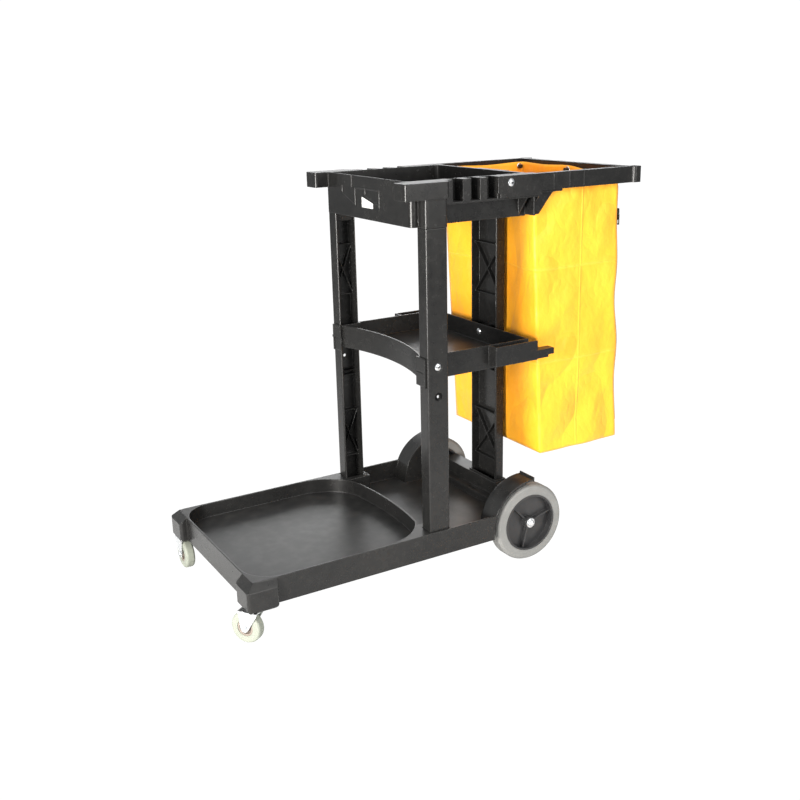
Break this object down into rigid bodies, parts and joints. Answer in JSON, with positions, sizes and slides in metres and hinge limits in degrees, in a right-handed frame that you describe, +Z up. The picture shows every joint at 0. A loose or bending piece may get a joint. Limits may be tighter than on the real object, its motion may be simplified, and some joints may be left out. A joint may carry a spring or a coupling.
{
  "type": "housekeeping cart",
  "caption": "Moulded service cart with a low deck, a middle shelf, a top tray, a hanging waste bag, fixed rear wheels and front swivel casters.",
  "frame": {"origin": "middle of the cart on the floor", "axes": "+X towards the bag and the rear wheels, +Y towards the right-hand side of the person who pushes it from the bag end, +Z up; the left side is -Y"},
  "size_m": [1.139, 0.514, 0.979],
  "materials": {
    "black_plastic": "satin moulded polypropylene with soft highlights",
    "label_white": "blank sticker",
    "yellow_vinyl": "coated woven cloth, slightly shiny",
    "nickel_eyelet": "plated eyelet",
    "zipper_tape": "woven tape with moulded teeth",
    "zipper_metal": "black lacquered slider",
    "wheel_black": "moulded hub",
    "grey_tyre": "non-marking grey rubber",
    "caster_core": "moulded wheel centre",
    "caster_tread": "pale polyurethane tread",
    "zinc_steel": "bright zinc plating"
  },
  "bodies": {
    "cart": {"base_platform": "black_plastic", "front_post_left": "black_plastic", "front_post_right": "black_plastic", "rear_post": "black_plastic", "middle_shelf": "black_plastic", "top_tray": "black_plastic", "bag_frame": "black_plastic", "blank_label": "label_white", "bag": "yellow_vinyl", "bag_grommets": "nickel_eyelet", "bag_zipper": "zipper_tape", "post_foot_bolts": "zinc_steel", "post_foot_nuts": "zinc_steel", "shelf_bolts": "zinc_steel", "shelf_nuts": "zinc_steel", "frame_bolts": "zinc_steel", "frame_nuts": "zinc_steel", "rear_axle": "zinc_steel", "axle_spacers": "wheel_black", "axle_washers": "zinc_steel", "axle_caps": "zinc_steel", "caster_stem_left": "zinc_steel", "caster_stem_right": "zinc_steel"},
    "rear_wheel_left": {"wheel_hub_left": "wheel_black", "wheel_tyre_left": "grey_tyre"},
    "rear_wheel_right": {"wheel_hub_right": "wheel_black", "wheel_tyre_right": "grey_tyre"},
    "caster_left": {"caster_fork_left": "zinc_steel", "caster_balls_left": "zinc_steel", "caster_bolt_left": "zinc_steel", "caster_nut_left": "zinc_steel"},
    "caster_right": {"caster_fork_right": "zinc_steel", "caster_balls_right": "zinc_steel", "caster_bolt_right": "zinc_steel", "caster_nut_right": "zinc_steel"},
    "caster_wheel_left": {"caster_core_left": "caster_core", "caster_tread_left": "caster_tread"},
    "caster_wheel_right": {"caster_core_right": "caster_core", "caster_tread_right": "caster_tread"},
    "zipper_slider": {"zipper_slider": "zipper_metal"},
    "zipper_pull": {"zipper_pull": "zipper_metal"}
  },
  "joints": [
    {"name": "rear_wheel_left_roll", "type": "hinge", "parent": "cart", "child": "rear_wheel_left", "pos_m": [0.2355, -0.216, 0.1015], "axis": [0, 1, 0], "continuous": true},
    {"name": "rear_wheel_right_roll", "type": "hinge", "parent": "cart", "child": "rear_wheel_right", "pos_m": [0.2355, 0.216, 0.1015], "axis": [0, 1, 0], "continuous": true},
    {"name": "caster_left_swivel", "type": "hinge", "parent": "cart", "child": "caster_left", "pos_m": [-0.5305, -0.235, 0.08], "axis": [0, 0, 1], "continuous": true},
    {"name": "caster_right_swivel", "type": "hinge", "parent": "cart", "child": "caster_right", "pos_m": [-0.5305, 0.235, 0.08], "axis": [0, 0, 1], "continuous": true},
    {"name": "caster_left_roll", "type": "hinge", "parent": "caster_left", "child": "caster_wheel_left", "pos_m": [-0.5407, -0.22017, 0.0375], "axis": [0.8241, 0.5664, 0], "continuous": true},
    {"name": "caster_right_roll", "type": "hinge", "parent": "caster_right", "child": "caster_wheel_right", "pos_m": [-0.5305, 0.217, 0.0375], "axis": [-1, 0, 0], "continuous": true},
    {"name": "zipper_slide", "type": "slide", "parent": "cart", "child": "zipper_slider", "axis": [0.0368, 0, -0.9993], "range_m": [-0.05, 0.54]},
    {"name": "zipper_pull_swing", "type": "hinge", "parent": "zipper_slider", "child": "zipper_pull", "pos_m": [0.53816, -0.1888, 0.86632], "axis": [0, -1, 0], "range_deg": [-2, 150]}
  ]
}
